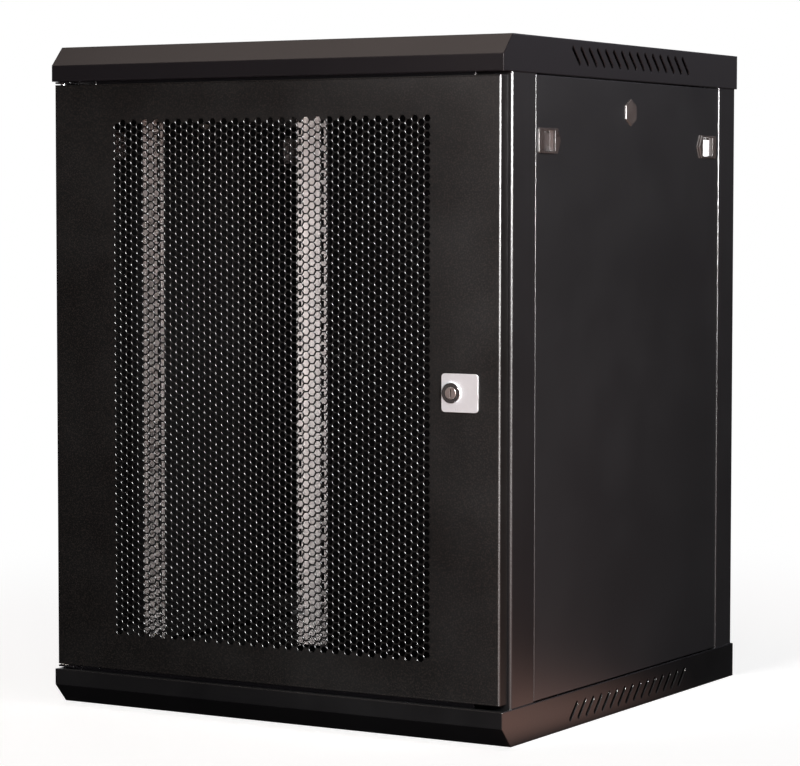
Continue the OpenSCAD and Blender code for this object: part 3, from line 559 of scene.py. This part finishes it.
def never(light, *pieces):
    """Keeps a light off these pieces."""
    only(light, *pieces)
    for member in light.light_linking.receiver_collection.collection_objects:
        member.light_linking.link_state = "EXCLUDE"


# name, place, aim, width, height, watts, colour, spread in degrees if not 180
SOFT_LIGHTS = (
    ("key_right", (3.1, -1.9, 1.15), (0.2, 0, 0.40), 1.1, 1.9, 26, (1.0, 0.985, 0.96)),
    ("top", (-0.9, -0.9, 3.0), (0, 0, 0.4), 2.2, 2.2, 21, (1.0, 0.83, 0.75)),
    ("back_right", (2.3, 3.4, 2.2), (0.2, 0, 0.5), 1.8, 1.5, 15, (0.82, 0.80, 1.0)),
    ("back_left", (-2.6, 2.9, 2.0), (-0.2, 0, 0.4), 2.0, 1.8, 22, (0.95, 0.97, 1.0)),
    ("front_fill", (2.0, -3.4, 0.8), (0, 0, 0.45), 1.0, 1.4, 90, (1.0, 0.955, 0.94)),
    ("inner", (0.10, -0.20, 0.45), (-0.25, 0.20, 0.45), 0.05, 0.50, 0.55,
     (1.0, 0.955, 0.95), 100),
)
# name, angle, distance, bottom, top, width, radiance, colour
STRIPS = (
    ("strip_front_right", 54, 2.2, 0.70, 1.9, 0.85, 240, WHITE),
    ("strip_low", 54, 2.2, 0.02, 0.60, 0.85, 0.7, (1.0, 0.95, 0.9)),
    ("strip_front", -5, 2.6, 0.9, 2.2, 0.9, 2.2, (1.0, 0.88, 0.86)),
    ("strip_latch", 138, 2.0, 0.2, 1.1, 0.55, 30, WHITE),
    ("strip_latch_front", 108, 2.0, 0.2, 1.6, 0.5, 55, WHITE),
    ("strip_door", 54, 2.2, 0.0, 0.66, 0.85, 16, (1.0, 0.97, 0.95)),
    ("strip_panel", 45, 2.0, 0.56, 1.9, 0.85, 340, WHITE),
    ("strip_front_post", 50, 2.2, 0.74, 1.9, 0.85, 260, WHITE),
    ("strip_cap", 149, 4.0, 0.0, 1.6, 3.0, 0.14, (1.0, 0.96, 1.0)),
    ("strip_post", 149, 4.0, 0.0, 1.6, 3.0, 0.09, (1.0, 0.93, 1.0)),
)
lights = {row[0]: area(*row) for row in SOFT_LIGHTS}
lights.update({row[0]: strip(*row) for row in STRIPS})
lights["key_right"].visible_glossy = False

side_panel, front_post, rear_post = [
    NODES[n] for n in ("side_panel_right", "front_post_right", "rear_post_right")]
front_latch = NODES["latch_front_right"]
top_cover, bottom_cover = NODES["top_cover"], NODES["bottom_cover"]

never(lights["strip_front_right"], front_latch, side_panel, front_post, rear_post,
      *[o for n, o in NODES.items() if n.startswith("top_")])
never(lights["front_fill"], front_post)
for light_name, pieces in (
        ("strip_latch", [NODES["latch_rear_right"]]),
        ("strip_latch_front", [front_latch]),
        ("strip_door", [skin]),
        ("strip_panel", [side_panel, rear_post]),
        ("strip_front_post", [front_post]),
        ("strip_cap", [top_cover]),
        ("strip_post", [front_post])):
    only(lights[light_name], *pieces)

LEFT_PARTS = ("side_panel", "front_post", "rear_post", "latch", "lock_blank")
back_and_left = [o for n, o in NODES.items()
                 if n.startswith(("rear_panel", "rear_cable", "cover_screws"))
                 or (n.endswith("_left") and n.startswith(LEFT_PARTS))]
covers = [top_cover, bottom_cover]
# name, left, right, front, back, pieces lit
for *sheet, pieces in (
        ("table_back", -6, 6, 0.45, 7, back_and_left),
        ("table_left", -6, -0.40, -6, 0.45, back_and_left),
        ("table_covers", -6, 0.26, 0.45, 7, covers),
        ("table_covers_left", -6, -0.40, -0.30, 0.45, covers)):
    only(floor_sheet(*sheet), *pieces)


# ------------------------------------------------------------------ world and floor
def studio_world():
    """White to the camera, a dim cool ambient to everything else."""
    world = bpy.data.worlds.new("studio")
    bpy.context.scene.world = world
    g = Graph(world, "OutputWorld")
    seen = g.node("Background", {0: WHITE, 1: 1.0}).outputs[0]
    ambient = g.node("Background", {0: (0.95, 0.97, 1.0), 1: 0.028}).outputs[0]
    g.feed(g.output, g.mix_shader(g.camera_ray(), ambient, seen))


def floor_material():
    material = bpy.data.materials.new("floor_pale")
    g = Graph(material, "OutputMaterial")
    smooth = dict(interpolation_type="SMOOTHSTEP")

    # camera: nearly self-lit white with a faint contact shadow, fading to pure white
    diffuse = g.node("BsdfDiffuse", {0: (0.42, 0.415, 0.41)}).outputs[0]
    near = g.node("AddShader", {0: diffuse, 1: g.emission(WHITE, strength=0.80)}).outputs[0]
    place = g.node("NewGeometry").outputs["Position"]
    reach = g.node("VectorMath", {0: place}, operation="LENGTH").outputs["Value"]
    fade = g.remap(reach, band=(0.55, 1.7), **smooth)
    seen = g.mix_shader(fade, near, g.emission(WHITE))

    # other rays: the floor glows warm in front and to the right of the cabinet, a painted
    # reflection for the side panel, and is almost black elsewhere, painted shadow round the
    # cabinet
    place = g.node("NewGeometry").outputs["Position"]
    axes = g.node("SeparateXYZ", {0: place}).outputs
    rightward = g.remap(axes[0], band=(0.29, 0.36), **smooth)
    forward = g.remap(axes[1], band=(-0.15, 0.27), to=(1.0, 0.0), **smooth)
    warm = g.math("MULTIPLY", rightward, forward)
    reflected = g.emission(g.mix(warm, (0.003, 0.003, 0.003), (1.30, 0.72, 0.58)))

    g.feed(g.output, g.mix_shader(g.camera_ray(), reflected, seen))
    return material


def make_floor():
    half, z = 40.0, -0.0006
    mesh = bpy.data.meshes.new("floor")
    mesh.from_pydata([(-half, -half, z), (half, -half, z), (half, half, z), (-half, half, z)],
                     [], [(0, 1, 2, 3)])
    mesh.materials.append(floor_material())
    floor = bpy.data.objects.new("floor", mesh)
    bpy.context.collection.objects.link(floor)


studio_world()
make_floor()

# ------------------------------------------------------------------ camera
CAMERA_PLACE = (1.83016, -3.09795, 0.58664)
LENS, SENSOR = 134.30133, 36.0             # millimetres
AZIMUTH = math.radians(30.65335)           # round from the front toward the right
DOWNWARD = math.radians(3.41604)
ROLL = math.radians(0.04731)


def make_camera():
    data = bpy.data.cameras.new("camera")
    camera = bpy.data.objects.new("camera", data)
    bpy.context.collection.objects.link(camera)
    bpy.context.scene.camera = camera
    data.sensor_fit = "HORIZONTAL"
    data.sensor_width = SENSOR
    data.lens = LENS
    data.clip_start, data.clip_end = 0.05, 120.0
    forward = Vector((-math.sin(AZIMUTH) * math.cos(DOWNWARD),
                      math.cos(AZIMUTH) * math.cos(DOWNWARD), -math.sin(DOWNWARD)))
    level = Vector((math.cos(AZIMUTH), math.sin(AZIMUTH), 0))
    upright = level.cross(forward)
    right = level * math.cos(ROLL) + upright * math.sin(ROLL)
    up = -level * math.sin(ROLL) + upright * math.cos(ROLL)
    pose = Matrix((right, up, -forward)).transposed().to_4x4()
    pose.translation = CAMERA_PLACE
    camera.matrix_world = pose


make_camera()

view = bpy.context.scene.view_settings
view.view_transform = "Standard"
view.look = "None"
view.exposure = 0.0
view.gamma = 1.0
